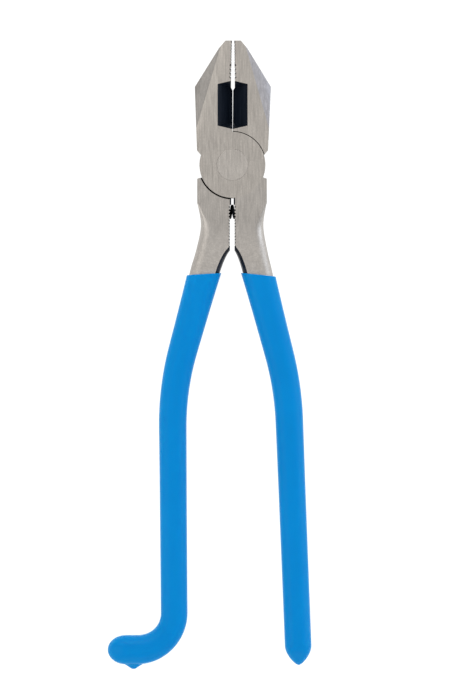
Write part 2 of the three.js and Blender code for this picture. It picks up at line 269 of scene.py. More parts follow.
def ground_pattern(tree, light, dark, turn=0):
    """The colour of a ground face and the height of its finest lines."""
    fine = pattern(tree, fine_lines, turn=turn)
    broad = pattern(tree, broad_lines, turn=turn)
    grains = pattern(tree, ground_grains, detail=4, turn=turn)
    deep = deeper(dark)
    colour = between(tree, spread(tree, broad, 0, 1), dark, light)
    colour = between(tree, spread(tree, fine, line_strength, 0), colour, deep)
    colour = between(tree, spread(tree, grains, grain_strength, 0), colour, deep)
    return colour, fine


def ground_steel(name, light, dark, turn=0):
    """Bright steel with grinding lines along Y, or turned from it about Z."""
    material, tree, shader = finish(name, light, 1.0, ground_roughness[0])
    colour, fine = ground_pattern(tree, light, dark, turn)
    tree.links.new(colour, shader.inputs["Base Color"])
    tree.links.new(spread(tree, fine, *ground_roughness), shader.inputs["Roughness"])
    relief(tree, shader, fine, ground_relief)
    return material


facet_turn = math.radians(17)
face_steel = ground_steel("ground_steel", (0.56, 0.524, 0.482), (0.47, 0.437, 0.4))
# Painted light: the left facets are painted a darker grey as shade, and the right ones lilac as the
# cool panel's reflection; the steel is the same on both sides.
left_facet_painted_shade = ((0.38, 0.362, 0.342), (0.31, 0.294, 0.277))
right_facet_painted_light = ((0.53, 0.522, 0.55), (0.44, 0.434, 0.458))
painted_light_facets = {
    LEFT: ground_steel("facet_steel_left_painted_shade", *left_facet_painted_shade, facet_turn),
    RIGHT: ground_steel("facet_steel_right_painted_light", *right_facet_painted_light, -facet_turn),
}
rivet_steel = ground_steel("rivet_steel", (0.595, 0.558, 0.517), (0.5, 0.467, 0.43))

# %% [markdown]
# ### Tang steel
#
# Below the joint the grinding fades out, and the tangs keep the skin that the forging got when its
# scale was blasted off: duller, with an even mottling about half a millimetre across. One finish
# holds both. How far down the tang a point lies decides the mix, and a cloudy noise frays the
# border between the two.


# %% Tang steel
ground_end = -15
blasted_start = -26
border_clouds = (260, 200, 260)
border_fray = 8
blasted_grains = (2300, 2300, 2300)
blasted_blotches = (900, 600, 900)
pit_strength = 0.75
blasted_roughness = (0.5, 0.62)
blasted_relief = 0.02


def mixed(tree, factor, first, second):
    """A number between two other nodes' outputs."""
    mix = tree.nodes.new("ShaderNodeMix")
    tree.links.new(factor, mix.inputs["Factor"])
    tree.links.new(first, mix.inputs["A"])
    tree.links.new(second, mix.inputs["B"])
    return mix.outputs["Result"]


def distance_down(tree, start, end):
    """Rises from 0 to 1 between two places on Y, frayed by a cloudy noise."""
    place = tree.nodes.new("ShaderNodeTexCoord")
    axes = tree.nodes.new("ShaderNodeSeparateXYZ")
    tree.links.new(place.outputs["Object"], axes.inputs["Vector"])
    clouds = pattern(tree, border_clouds)
    fray = tree.nodes.new("ShaderNodeMath")
    fray.operation = "MULTIPLY_ADD"
    fray.inputs[1].default_value = border_fray * MM
    tree.links.new(clouds, fray.inputs[0])
    tree.links.new(axes.outputs["Y"], fray.inputs[2])
    fall = tree.nodes.new("ShaderNodeMapRange")
    fall.inputs["From Min"].default_value = start * MM
    fall.inputs["From Max"].default_value = end * MM
    tree.links.new(fray.outputs["Value"], fall.inputs["Value"])
    return fall.outputs["Result"]


def tang_finish(name, light, dark):
    """Ground steel that turns into blasted steel down the tang."""
    material, tree, shader = finish(name, light, metallic=1.0, roughness=0.45)
    ground, fine = ground_pattern(tree, light, dark)
    grains = pattern(tree, blasted_grains, detail=4)
    blotches = pattern(tree, blasted_blotches)
    deep = deeper(dark)
    blasted = between(tree, spread(tree, blotches, 0, 1), dark, light)
    blasted = between(tree, spread(tree, grains, pit_strength, 0), blasted, deep)
    down = distance_down(tree, ground_end, blasted_start)
    tree.links.new(between(tree, down, ground, blasted), shader.inputs["Base Color"])
    smooth_side = spread(tree, fine, *ground_roughness)
    rough_side = spread(tree, grains, *blasted_roughness)
    tree.links.new(mixed(tree, down, smooth_side, rough_side), shader.inputs["Roughness"])
    relief(tree, shader, mixed(tree, down, fine, grains), blasted_relief)
    return material


tang_steel = tang_finish("tang_steel", (0.55, 0.517, 0.48), (0.455, 0.426, 0.395))

# %% [markdown]
# ### Black oxide
#
# The hollows of the cutters, the gullets of the teeth and the spring are blue-black. It is thin,
# so it follows the milling lines beneath it and is a touch lighter along them.


# %% Black oxide
milling_lines = (2400, 90, 2400)
oxide_smoother = 0.08
oxide_rougher = 0.1
oxide_relief = 0.01


def black_oxide(name, dark, light, roughness):
    material, tree, shader = finish(name, dark, metallic=0.2, roughness=roughness)
    shader.inputs["Specular IOR Level"].default_value = 0.25
    lines = pattern(tree, milling_lines)
    colour = between(tree, spread(tree, lines, 0, 1), dark, light)
    tree.links.new(colour, shader.inputs["Base Color"])
    rough = spread(tree, lines, roughness - oxide_smoother, roughness + oxide_rougher)
    tree.links.new(rough, shader.inputs["Roughness"])
    relief(tree, shader, lines, oxide_relief)
    return material


oxide_steel = black_oxide("black_oxide", (0.001, 0.003, 0.008), (0.005, 0.009, 0.018), 0.45)
spring_steel = black_oxide("spring_oxide", (0.004, 0.006, 0.01), (0.016, 0.02, 0.028), 0.4)

# %% [markdown]
# ### Dipped vinyl
#
# The grips were dipped in liquid vinyl and cured. The skin is a smooth, strong blue with a soft
# gloss; only a very slight waviness, some millimetres long, shows that it wasn't moulded.


# %% Dipped vinyl
vinyl_waves = (90, 45, 90)
vinyl_specks = (1500, 1500, 1500)
vinyl_roughness = (0.33, 0.42)
vinyl_relief = 0.15


def dipped_vinyl(name, light, dark):
    material, tree, shader = finish(name, light, metallic=0.0, roughness=0.36)
    shader.inputs["Specular IOR Level"].default_value = 0.06
    shader.inputs["Subsurface Weight"].default_value = 0.5
    shader.inputs["Subsurface Radius"].default_value = (0.2, 0.9, 1)
    shader.inputs["Subsurface Scale"].default_value = 1.2 * MM
    shader.inputs["Sheen Weight"].default_value = 1.0
    shader.inputs["Sheen Roughness"].default_value = 0.25
    shader.inputs["Sheen Tint"].default_value = (0.5, 0.85, 1, 1)
    clouds = pattern(tree, vinyl_waves, detail=2)
    specks = pattern(tree, vinyl_specks, detail=2)
    colour = between(tree, spread(tree, clouds, 0, 1), dark, light)
    tree.links.new(colour, shader.inputs["Base Color"])
    tree.links.new(spread(tree, specks, *vinyl_roughness), shader.inputs["Roughness"])
    relief(tree, shader, clouds, vinyl_relief)
    return material


blue_vinyl = dipped_vinyl("dipped_vinyl", (0.0, 0.218, 0.55), (0.0, 0.204, 0.525))


# %% [markdown]
# ## Modelling helpers
#
# Three moves make nearly everything here. A plate is an outline drawn corner by corner from one
# vertex, filled, and pulled up to its thickness. A loft is a row of rounded rectangles bridged
# into a bar. A cut, or a join, is a Boolean modifier that is applied at once; the faces it makes
# keep the finish of the tool that cut them.

# %% Select and apply
def choose(piece):
    """Makes one piece the only selected and active object."""
    bpy.ops.object.select_all(action="DESELECT")
    bpy.context.view_layer.objects.active = piece
    piece.select_set(True)


def edit_all():
    """Opens the active piece in edit mode, selected all over."""
    bpy.ops.object.mode_set(mode="EDIT")
    bpy.ops.mesh.select_all(action="SELECT")


def close_up():
    """Turns every face outwards and leaves edit mode."""
    bpy.ops.mesh.select_all(action="SELECT")
    bpy.ops.mesh.normals_make_consistent(inside=False)
    bpy.ops.object.mode_set(mode="OBJECT")


def pick_faces(piece, test):
    """Selects the faces, in edit mode, whose middle and normal pass a test."""
    bpy.ops.mesh.select_mode(type="FACE")
    bpy.ops.mesh.select_all(action="DESELECT")
    bpy.ops.object.mode_set(mode="OBJECT")
    for face in piece.data.polygons:
        face.select = test(face.center / MM, face.normal)
    bpy.ops.object.mode_set(mode="EDIT")


def pick_edges(piece, test):
    """Selects the edges, in edit mode, whose two ends both pass a test."""
    bpy.ops.mesh.select_mode(type="EDGE")
    bpy.ops.mesh.select_all(action="DESELECT")
    bpy.ops.object.mode_set(mode="OBJECT")
    corners = piece.data.vertices
    for edge in piece.data.edges:
        first, second = [corners[index].co / MM for index in edge.vertices]
        edge.select = test(first, second)
    bpy.ops.object.mode_set(mode="EDIT")


def finish_with(piece, finish_material):
    """Gives a whole piece one finish."""
    piece.data.materials.clear()
    piece.data.materials.append(finish_material)


def combine(piece, tool, operation):
    """Cuts a piece with a tool, or joins the tool to it, and takes the tool away."""
    choose(piece)
    modifier = piece.modifiers.new(operation.lower(), "BOOLEAN")
    modifier.operation = operation
    modifier.object = tool
    modifier.solver = "EXACT"
    modifier.material_mode = "TRANSFER"
    bpy.ops.object.modifier_apply(modifier=modifier.name)
    bpy.data.objects.remove(tool)


# %% Plate
def plate(name, outline, bottom, top, slant=(0, 0)):
    """An outline in millimetres, filled and pulled from one height to another."""
    bpy.ops.object.select_all(action="DESELECT")
    bpy.ops.mesh.primitive_plane_add(size=MM, location=(0, 0, 0))
    piece = bpy.context.object
    piece.name = name
    bpy.ops.object.mode_set(mode="EDIT")
    bpy.ops.mesh.select_mode(type="VERT")
    bpy.ops.mesh.merge(type="CENTER")
    bpy.ops.transform.translate(value=(outline[0][0] * MM, outline[0][1] * MM, bottom * MM))
    for (x, y), (next_x, next_y) in zip(outline, outline[1:]):
        step = ((next_x - x) * MM, (next_y - y) * MM, 0)
        bpy.ops.mesh.extrude_vertices_move(TRANSFORM_OT_translate={"value": step})
    bpy.ops.mesh.select_all(action="SELECT")
    bpy.ops.mesh.edge_face_add()
    rise = (slant[0] * MM, slant[1] * MM, (top - bottom) * MM)
    bpy.ops.mesh.extrude_region_move(TRANSFORM_OT_translate={"value": rise})
    close_up()
    return piece


# %% Loft
corner_segments = 10


def loft(name, stations):
    """A bar through stations (x, y, heading, half width, half thickness, corner radius)."""
    bpy.ops.object.select_all(action="DESELECT")
    bpy.ops.mesh.primitive_plane_add(size=MM, location=(0, 0, 0))
    piece = bpy.context.object
    piece.name = name
    bpy.ops.object.mode_set(mode="EDIT")
    bpy.ops.mesh.select_mode(type="VERT")
    bpy.ops.mesh.delete(type="VERT")
    for x, y, heading, half_width, half_thickness, corner in stations:
        bpy.ops.mesh.select_all(action="DESELECT")
        bpy.ops.mesh.primitive_plane_add(size=2, location=(0, 0, 0), rotation=(math.pi / 2, 0, 0))
        size = (half_width * MM, 1, half_thickness * MM)
        bpy.ops.transform.resize(value=size, center_override=(0, 0, 0))
        bpy.ops.mesh.bevel(
            affect="VERTICES", offset=corner * MM, segments=corner_segments, profile=0.5
        )
        bpy.ops.transform.rotate(value=-heading, orient_axis="Z", center_override=(0, 0, 0))
        bpy.ops.transform.translate(value=(x * MM, y * MM, mid_plane * MM))
    bpy.ops.mesh.select_all(action="SELECT")
    bpy.ops.mesh.delete(type="ONLY_FACE")
    bpy.ops.mesh.select_all(action="SELECT")
    bpy.ops.mesh.bridge_edge_loops()
    bpy.ops.mesh.select_all(action="DESELECT")
    bpy.ops.mesh.select_mode(type="VERT")
    bpy.ops.mesh.select_non_manifold()
    bpy.ops.mesh.edge_face_add()
    close_up()
    return piece


# %% [markdown]
# Teeth are V grooves. One diamond bar is made and copied in even steps along the line. The bars
# reach from one face to half the thickness, and those of the other face sit half a step further
# on, so no light falls through between the gullets.


# %% Teeth
row_overlap = 0.05


def tooth_cutter(start, end, pitch, depth, face):
    """A row of diamond bars on one face, whose inner corners leave V grooves along a line."""
    run = Vector(end) - Vector(start)
    count = int(run.length // pitch)
    step = run / count
    first = Vector(start) + step * (0.5 if face > 0 else 1.0)
    diamond = [
        (first.x - depth, first.y),
        (first.x, first.y - depth),
        (first.x + depth, first.y),
        (first.x, first.y + depth),
    ]
    low = mid_plane - face * row_overlap
    bars = plate("tooth_cutter", diamond, low, mid_plane + face * beyond)
    edit_all()
    for _ in range(count - 1 if face > 0 else count - 2):
        move = (step.x * MM, step.y * MM, 0)
        bpy.ops.mesh.duplicate_move(TRANSFORM_OT_translate={"value": move})
    bpy.ops.object.mode_set(mode="OBJECT")
    finish_with(bars, oxide_steel)
    return bars


def cut_teeth(body, start, end, pitch, depth):
    for face in (-1, 1):
        combine(body, tooth_cutter(start, end, pitch, depth, face), "DIFFERENCE")


# %% [markdown]
# ## The jaws
#
# Each jaw is a plate as thick as the joint. The tool rests slightly open, so both jaws lean
# outwards a little: every place on a jaw is given by its distance to the jaw's own centre line
# and its reach from the rivet, and one function turns that into X and Y.

# %% Jaw sizes
jaw_lean = {LEFT: math.radians(0.15), RIGHT: math.radians(0.8)}
tip_width = 2.35
nose_top_width = 4.75
nose_top_drop = 2.8
shoulder_width = 13.25
shoulder_reach = 27.6
jaw_foot_width = 12.55
jaw_foot_reach = 5.3
notch_reach = 3.6
notch_root = 1.0
grip_face_start = 29.9
grip_face_relief = 0.38
relief_start = 26.5
relief_point_rise = 0.9
facet_nose_width = 4.3
facet_foot_width = 12.1
facet_foot_reach = 15.0
facet_drop = 2.4
edge_break = 0.18
same_direction = 0.999
line_slack = 0.02
share_slack = 0.01
shortest_rim = 0.5


def on_jaw(side, width, reach):
    """X and Y of a place on one jaw."""
    return side * (width + reach * math.tan(jaw_lean[side])), reach


# %% Jaw plate
def jaw_plate(side):
    """One jaw's outline, from its root inside the joint up to the tip and back down."""
    notch_width = math.sqrt(joint_radius ** 2 - notch_reach ** 2)
    relief = edge_gap + grip_face_relief
    # Each cutting edge is turned inwards, so that both meet in full when the jaws close.
    corners = [
        (0, 0),
        (notch_width - notch_root, notch_reach),
        (notch_width, notch_reach),
        (jaw_foot_width, jaw_foot_reach),
        (shoulder_width, shoulder_reach),
        (nose_top_width, jaw_reach - nose_top_drop),
        (tip_width, jaw_reach),
        (edge_gap, jaw_reach),
        (relief, grip_face_start),
        (relief, relief_start + relief_point_rise),
        (-relief_start * math.tan(cutter_turn), relief_start),
    ]
    jaw = plate("jaw", [on_jaw(side, *corner) for corner in corners], 0, joint_thickness)
    finish_with(jaw, face_steel)
    return jaw


# %% [markdown]
# Four facets slant from the nose down the outside of the jaws, two on each face. They are cut
# with bisect: each plane goes through the nose and the foot of the facet on the face, and through
# a point of the jaw's widest corner, a named depth below that face.


# %% Jaw facets
def grind_facets(jaw, side):
    # The facet finish carries painted light: painted shade on the left, a painted lilac reflection
    # on the right.
    jaw.data.materials.append(painted_light_facets[side])
    choose(jaw)
    jaw.active_material_index = 1
    bpy.ops.object.mode_set(mode="EDIT")
    for face in (-1, 1):
        face_height = mid_plane + face * mid_plane
        nose = Vector((*on_jaw(side, facet_nose_width, jaw_reach - nose_top_drop), face_height))
        foot = Vector((*on_jaw(side, facet_foot_width, facet_foot_reach), face_height))
        shoulder_height = face_height - face * facet_drop
        shoulder = Vector((*on_jaw(side, shoulder_width, shoulder_reach), shoulder_height))
        outward = (foot - nose).cross(shoulder - nose).normalized()
        if outward.x * side < 0:
            outward.negate()
        bpy.ops.mesh.select_all(action="SELECT")
        bpy.ops.mesh.bisect(
            plane_co=nose * MM, plane_no=outward, use_fill=True, clear_outer=True
        )
        pick_faces(jaw, lambda middle, normal: normal.dot(outward) > same_direction)
        bpy.ops.object.material_slot_assign()
    bpy.ops.object.mode_set(mode="OBJECT")


# %% [markdown]
# The sharp rim of each face is broken with a narrow bevel, all round the outside of the jaw. The
# inner edges, where the two jaws meet, stay crisp.


# %% Break the jaw's edges
def break_jaw_edges(jaw, side):
    choose(jaw)
    bpy.ops.object.mode_set(mode="EDIT")

    foot = Vector(on_jaw(side, jaw_foot_width, jaw_foot_reach))
    shoulder = Vector(on_jaw(side, shoulder_width, shoulder_reach))
    nose = Vector(on_jaw(side, nose_top_width, jaw_reach - nose_top_drop))

    def on_outline(point):
        for start, end in ((foot, shoulder), (shoulder, nose)):
            run = end - start
            along = (point.xy - start).dot(run) / run.length_squared
            aside = (point.xy - start - run * along).length
            if -share_slack < along < 1 + share_slack and aside < line_slack:
                return True
        return False

    def outer_rim(first, second):
        long_enough = (first.xy - second.xy).length > shortest_rim
        return on_outline(first) and on_outline(second) and long_enough

    pick_edges(jaw, outer_rim)
    bpy.ops.mesh.bevel(offset=edge_break * MM, segments=2, profile=0.5)
    bpy.ops.object.mode_set(mode="OBJECT")


# %% [markdown]
# ### The cutters
#
# Behind the gripping faces the jaws turn into side cutters. Seen from either face the hollow is a
# long six-sided window; it narrows to the cutting edge at half the thickness. The tool for it is a
# hexagon pulled down to that depth, with each end of its lower face merged into one point.

# %% Cutter hollow
cutter_half_width = 5.3
cutter_foot = 12.6
cutter_head = 29.8
cutter_end_slope = 1.45
cutter_end_lean = 2.4
cutter_lift = 1.0


def cutter_hollow(face):
    """The space over the two cutting bevels, on the front (1) or the back (-1)."""
    grow = (mid_plane + cutter_lift) / mid_plane
    centre = (on_jaw(RIGHT, 0, cutter_foot)[0] + on_jaw(LEFT, 0, cutter_head)[0]) / 2
    middle = (cutter_head + cutter_foot) / 2
    half_edge = (cutter_head - cutter_foot) / 2 - cutter_end_lean
    half_length = half_edge + cutter_end_lean * grow
    half_width = cutter_half_width * grow
    shoulder = half_length - cutter_end_slope
    hexagon = [
        (centre, middle + half_length),
        (centre + half_width, middle + shoulder),
        (centre + half_width, middle - shoulder),
        (centre, middle - half_length),
        (centre - half_width, middle - shoulder),
        (centre - half_width, middle + shoulder),
    ]
    outside = mid_plane + face * (mid_plane + cutter_lift)
    hollow = plate("cutter_hollow", hexagon, outside, mid_plane)
    choose(hollow)
    bpy.ops.object.mode_set(mode="EDIT")
    bpy.ops.mesh.select_mode(type="VERT")
    for end in (-1, 1):
        bpy.ops.mesh.select_all(action="DESELECT")
        bpy.ops.object.mode_set(mode="OBJECT")
        chosen = []
        for vertex in hollow.data.vertices:
            at_edge = abs(vertex.co.z / MM - mid_plane) < touch
            if at_edge and end * (vertex.co.y / MM - middle) > 0:
                vertex.select = True
                chosen.append(vertex.co / MM)
        bpy.ops.object.mode_set(mode="EDIT")
        mean_y = sum(corner.y for corner in chosen) / len(chosen)
        bpy.ops.mesh.merge(type="CENTER")
        bpy.ops.transform.translate(value=(0, (middle + end * half_edge - mean_y) * MM, 0))
    close_up()
    finish_with(hollow, oxide_steel)
    return hollow


# %% [markdown]
# The gripping faces have coarse teeth next to the cutters and finer ones towards the tip. The
# coarse pitch is taken a trace short, so that rounding never drops the last of its teeth.

# %% A whole jaw
coarse_pitch = 1.4
coarse_count = 4
coarse_depth = 0.66
fine_pitch = 1.0
fine_depth = 0.47
teeth_start = 0.4
pitch_play = 0.999


def jaw(side):
    """A jaw with its facets, broken edges, cutter hollows and teeth."""
    body = jaw_plate(side)
    grind_facets(body, side)
    break_jaw_edges(body, side)
    for face in (-1, 1):
        combine(body, cutter_hollow(face), "DIFFERENCE")
    start = Vector(on_jaw(side, edge_gap + grip_face_relief, grip_face_start + teeth_start))
    tip = Vector(on_jaw(side, edge_gap, jaw_reach))
    change = start + (tip - start).normalized() * coarse_pitch * coarse_count
    cut_teeth(body, start, change, coarse_pitch * pitch_play, coarse_depth)
    cut_teeth(body, change, tip, fine_pitch, fine_depth)
    return body


# %% [markdown]
# ## The handles
#
# Steel core and grip follow the same route: straight and splayed, then an easy bend, then almost
# straight down, and on the left a quarter turn into the hook. A heading of zero points straight
# down, and it grows towards +X. The route is walked in short steps and gives a list of stations.

# %% Handle route
handle_start = {LEFT: (-9.4, -36.0), RIGHT: (8.5, -36.0)}
handle_splay = {LEFT: math.radians(-15.4), RIGHT: math.radians(14.7)}
splayed_length = {LEFT: 30.6, RIGHT: 32.0}
handle_bend_radius = {LEFT: 100, RIGHT: 110}
lower_splay = {LEFT: math.radians(0.45), RIGHT: math.radians(2.25)}
lower_length = {LEFT: 65.5, RIGHT: 79.4}
hook_bend_radius = 13.0
hook_arm_length = 4.12
hook_arm_steps = 2
straight_step = 4.0
bend_steps = 14
hook_steps = 24


def handle_legs(side):
    """The legs of a handle's route: length, change of heading and number of steps."""
    bend = lower_splay[side] - handle_splay[side]
    legs = [
        (splayed_length[side], 0, round(splayed_length[side] / straight_step)),
        (handle_bend_radius[side] * abs(bend), bend, bend_steps),
        (lower_length[side], 0, round(lower_length[side] / straight_step)),
    ]
    if side == LEFT:
        hook_bend = -math.radians(90) - lower_splay[LEFT]
        legs.append((hook_bend_radius * abs(hook_bend), hook_bend, hook_steps))
        legs.append((hook_arm_length, 0, hook_arm_steps))
    return legs


def walk(place, run, turn=0.0):
    """The place reached from another (distance, x, y, heading) by one step along an arc."""
    distance, x, y, heading = place
    chord = run if turn == 0 else 2 * run / turn * math.sin(turn / 2)
    x += chord * math.sin(heading + turn / 2)
    y -= chord * math.cos(heading + turn / 2)
    return distance + run, x, y, heading + turn


def handle_places(side):
    """Every place on the route, from the top of the core to the end of the last leg."""
    places = [(0.0, *handle_start[side], handle_splay[side])]
    for length, bend, steps in handle_legs(side):
        for _ in range(steps):
            places.append(walk(places[-1], length / steps, bend / steps))
    return places


# %% [markdown]
# The section is a rounded rectangle, widest at the mouth of the grip, where the bath ran thick,
# and again a little in the hook.

# %% Handle sections
grip_half_width = 4.7
grip_half_thickness = 5.2
grip_mouth_extra_width = 1.2
grip_taper_length = 32
hook_extra_width = 0.45
hook_width_power = 4
grip_corner_share = 0.8


def handle_station(place, inset, share=1.0):
    """The rounded rectangle around one place of the route, for the loft."""
    distance, x, y, heading = place
    half_width = grip_half_width + grip_mouth_extra_width * math.exp(-distance / grip_taper_length)
    half_width += hook_extra_width * max(0, -math.sin(heading)) ** hook_width_power
    half_width = (half_width - inset) * share
    half_thickness = (grip_half_thickness - inset) * share
    corner = grip_corner_share * min(half_width, half_thickness)
    return x, y, heading, half_width, half_thickness, corner


# %% [markdown]
# ## The grips
#
# A grip is a sleeve of vinyl around the core. It is lofted in full, its mouth is cut off on a
# slight slant with bisect, and the core's own shape, a hair larger, is cut out of it. The hook ends
# in a round bulb and the straight handle in a short blunt point, so each has its own list of
# shares by which the last sections shrink.

# %% Grip ends
end_steps = 16
blunt_tip_length = 7.0
blunt_tip_power = 1.9
blunt_tip_taper = 0.85
bulb_stretch = 1.25
bulb_end = math.radians(84)
blunt_tip_end = math.radians(88)
blunt_tip_cap = 20


def end_shares(side):
    """Run beyond the last leg and share of the full section, down to the tip."""
    shares = []
    for step in range(1, end_steps + 1):
        part = step / end_steps
        if side == LEFT:
            angle = part * bulb_end
            radius = bulb_stretch * (grip_half_width + hook_extra_width)
            shares.append((radius * math.sin(angle), math.cos(angle)))
        else:
            part = math.sin(part * blunt_tip_end)
            point = 1 - blunt_tip_taper * part ** blunt_tip_power
            shares.append((blunt_tip_length * part, point * math.sqrt(1 - part ** blunt_tip_cap)))
    return shares


# %% Handle bar
grip_wall = 0.75


def handle_bar(side, inset, lead=0.0):
    """The handle as one bar, shrunk all round by an inset and lengthened upwards by a lead."""
    places = handle_places(side)
    stations = [handle_station(place, inset) for place in places]
    if lead > 0:
        stations.insert(0, handle_station(walk(places[0], -lead), inset))
    for run, share in end_shares(side):
        reach = run * (grip_half_width - inset) / grip_half_width
        stations.append(handle_station(walk(places[-1], reach), inset, share))
    return loft("handle_bar", stations)


# %% Grip sleeves
grip_mouth_distance = {LEFT: 2.65, RIGHT: 2.85}
grip_mouth_tilt = {LEFT: math.radians(3.5), RIGHT: math.radians(-6.0)}
mouth_round = 0.22
bore_lead = 2.0


def grip(side, name):
    """A sleeve with a slanted mouth, slightly rounded on its outer lip."""
    sleeve = handle_bar(side, 0.0)
    sleeve.name = name
    finish_with(sleeve, blue_vinyl)
    _, x, y, _ = walk(handle_places(side)[0], grip_mouth_distance[side])
    tilt = grip_mouth_tilt[side]
    upward = Vector((-math.sin(tilt), math.cos(tilt), 0))
    mouth = Vector((x, y, mid_plane))
    choose(sleeve)
    edit_all()
    bpy.ops.mesh.bisect(plane_co=mouth * MM, plane_no=upward, use_fill=True, clear_outer=True)

    def on_mouth(first, second):
        return max(abs((end - mouth).dot(upward)) for end in (first, second)) < touch

    pick_edges(sleeve, on_mouth)
    bpy.ops.mesh.bevel(offset=mouth_round * MM, segments=3, profile=0.5)
    bpy.ops.object.mode_set(mode="OBJECT")
    combine(sleeve, handle_bar(side, grip_wall, lead=bore_lead), "DIFFERENCE")
    return sleeve


# %% [markdown]
# When the hook comes out of the bath its last drop hangs from the lowest point of the arm and cures
# there. It starts as a disc inside the arm and is pulled down ring by ring: wide at the root,
# hollow in the flanks and blunt at the point.

# %% Drip nub
drip_distance = 1.4
drip_sink = 0.9
drip_rings = ((0.9, 3.2), (0.3, 2.7), (0.35, 2.1), (0.45, 1.4), (0.4, 0.85), (0.15, 0.45))
drip_root_radius = 3.5
drip_flatness = 0.62
drip_sides = 48


def add_drip(sleeve):
    """Hangs the cured drop under the hook's arm."""
    arm_start = handle_places(LEFT)[-1 - hook_arm_steps]
    _, x, y, _ = walk(arm_start, drip_distance)
    root = y - handle_station(arm_start, 0.0)[3] + drip_sink
    bpy.ops.object.select_all(action="DESELECT")
    bpy.ops.mesh.primitive_circle_add(
        vertices=drip_sides,
        radius=drip_root_radius * MM,
        fill_type="NGON",
        location=(0, 0, 0),
    )
    drop = bpy.context.object
    edit_all()
    bpy.ops.transform.rotate(value=math.pi / 2, orient_axis="X", center_override=(0, 0, 0))
    radius = drip_root_radius
    for drop_by, ring_radius in drip_rings:
        move = (0, -drop_by * MM, 0)
        bpy.ops.mesh.extrude_region_move(TRANSFORM_OT_translate={"value": move})
        bpy.ops.transform.resize(value=(ring_radius / radius, 1, ring_radius / radius))
        radius = ring_radius
    bpy.ops.mesh.select_all(action="SELECT")
    bpy.ops.mesh.normals_make_consistent(inside=False)
    bpy.ops.transform.resize(value=(1, 1, drip_flatness), center_override=(0, 0, 0))
    bpy.ops.transform.translate(value=(x * MM, root * MM, mid_plane * MM))
    bpy.ops.object.mode_set(mode="OBJECT")
    finish_with(drop, blue_vinyl)
    combine(sleeve, drop, "UNION")


# %% [markdown]
# Rounded parts are shaded smooth and flat ones flat: an edge sharper than an angle stays crisp.

# %% Smooth shading
def smooth(piece, angle=30):
    """Smooth shading up to an angle, with normals that keep the flat faces flat."""
    choose(piece)
    bpy.ops.object.shade_smooth_by_angle(angle=math.radians(angle))
    modifier = piece.modifiers.new("face_normals", "WEIGHTED_NORMAL")
    modifier.keep_sharp = True
    bpy.ops.object.modifier_apply(modifier=modifier.name)


# %% Both grips
hook_grip = grip(LEFT, "hook_grip_skin")
add_drip(hook_grip)
straight_grip = grip(RIGHT, "straight_grip_skin")
for sleeve in (hook_grip, straight_grip):
    smooth(sleeve, angle=50)
    print(sleeve.name, len(sleeve.data.polygons), "faces")

# %% [markdown]
# ## The tangs
#
# A tang is flat where it leaves the joint and turns into the round core. It is a plate down to the
# waist, joined to a loft whose corners grow rounder on the way. The loft reaches past the middle
# line on the inside, so that the cut between the tangs leaves a crisp edge there while the outer
# side is already round.

# %% Tang sizes
tang_top = -4.9
tang_shoulder = {LEFT: 12.45, RIGHT: 12.15}
tang_shoulder_end = -13.2
tang_waist = {LEFT: 11.15, RIGHT: 10.95}
tang_waist_place = -21.2
tang_flare = {LEFT: 12.7, RIGHT: 12.2}
tang_flare_place = -29.5
tang_gap = {LEFT: 0.9, RIGHT: 0.75}
slot_gap = 0.45
slot_end = -14.0
slot_step_width = 0.5
slot_step_depth = 0.8
tang_tooth_pitch = 1.13
tang_tooth_depth = 0.52
core_clearance = 0.05
core_inset = grip_wall + core_clearance
tang_steps = 24
tang_overhang = 3.0
tang_end_lead = 1.25
tang_inner_top = 1.5
tang_inner_low = 2.5
tang_corner = 0.25
rounding_end = 0.45
thinning_start = 0.2
thinning_power = 1.2
shoulder_lap = 0.4
teeth_margin = 0.3
past_middle = 6


def smooth_curve(points, share):
    """A point on a Catmull-Rom curve through a few points, as X and Y."""
    spans = len(points) - 1
    position = min(share * spans, spans - 1e-6)
    index = int(position)
    part = position - index
    before = points[max(index - 1, 0)]
    start = points[index]
    end = points[index + 1]
    after = points[min(index + 2, spans)]
    return tuple(
        0.5 * (
            2 * p1 + (p2 - p0) * part
            + (2 * p0 - 5 * p1 + 4 * p2 - p3) * part ** 2
            + (3 * p1 - p0 - 3 * p2 + p3) * part ** 3
        )
        for p0, p1, p2, p3 in zip(before, start, end, after)
    )


# %% [markdown]
# The outer and the inner side of the tang are each a smooth curve through four places. Between
# them the loft's corners grow round and its thickness falls to that of the core.

# %% Tang loft
def tang_stations(side):
    """Stations from the end of the shoulder down to the top of the core."""
    last = walk(handle_places(side)[0], grip_mouth_distance[side] - tang_end_lead)
    x, y, heading, half_width, half_thickness, corner = handle_station(last, core_inset)
    across = Vector((math.cos(heading), math.sin(heading))) * side
    core_outer = tuple(Vector((x, y)) + across * half_width)
    core_inner = tuple(Vector((x, y)) - across * (half_width + tang_overhang))
    outer = [
        (side * tang_shoulder[side], tang_shoulder_end),
        (side * tang_waist[side], tang_waist_place),
        (side * tang_flare[side], tang_flare_place),
        core_outer,
    ]
    inner = [
        (-side * tang_inner_top, tang_shoulder_end),
        (-side * tang_inner_low, tang_waist_place),
        (-side * tang_inner_low, tang_flare_place),
        core_inner,
    ]
    stations = []
    for step in range(tang_steps):
        share = step / tang_steps
        out_x, out_y = smooth_curve(outer, share)
        in_x, in_y = smooth_curve(inner, share)
        span = Vector((out_x - in_x, out_y - in_y)) * side
        rounding = min(1, share / rounding_end)
        rounding = rounding * rounding * (3 - 2 * rounding)
        thinning = max(0, share - thinning_start) / (1 - thinning_start)
        stations.append((
            (out_x + in_x) / 2,
            (out_y + in_y) / 2,
            math.atan2(span.y, span.x),
            span.length / 2,
            mid_plane + (half_thickness - mid_plane) * thinning ** thinning_power,
            tang_corner + (corner - tang_corner) * rounding,
        ))
    return stations


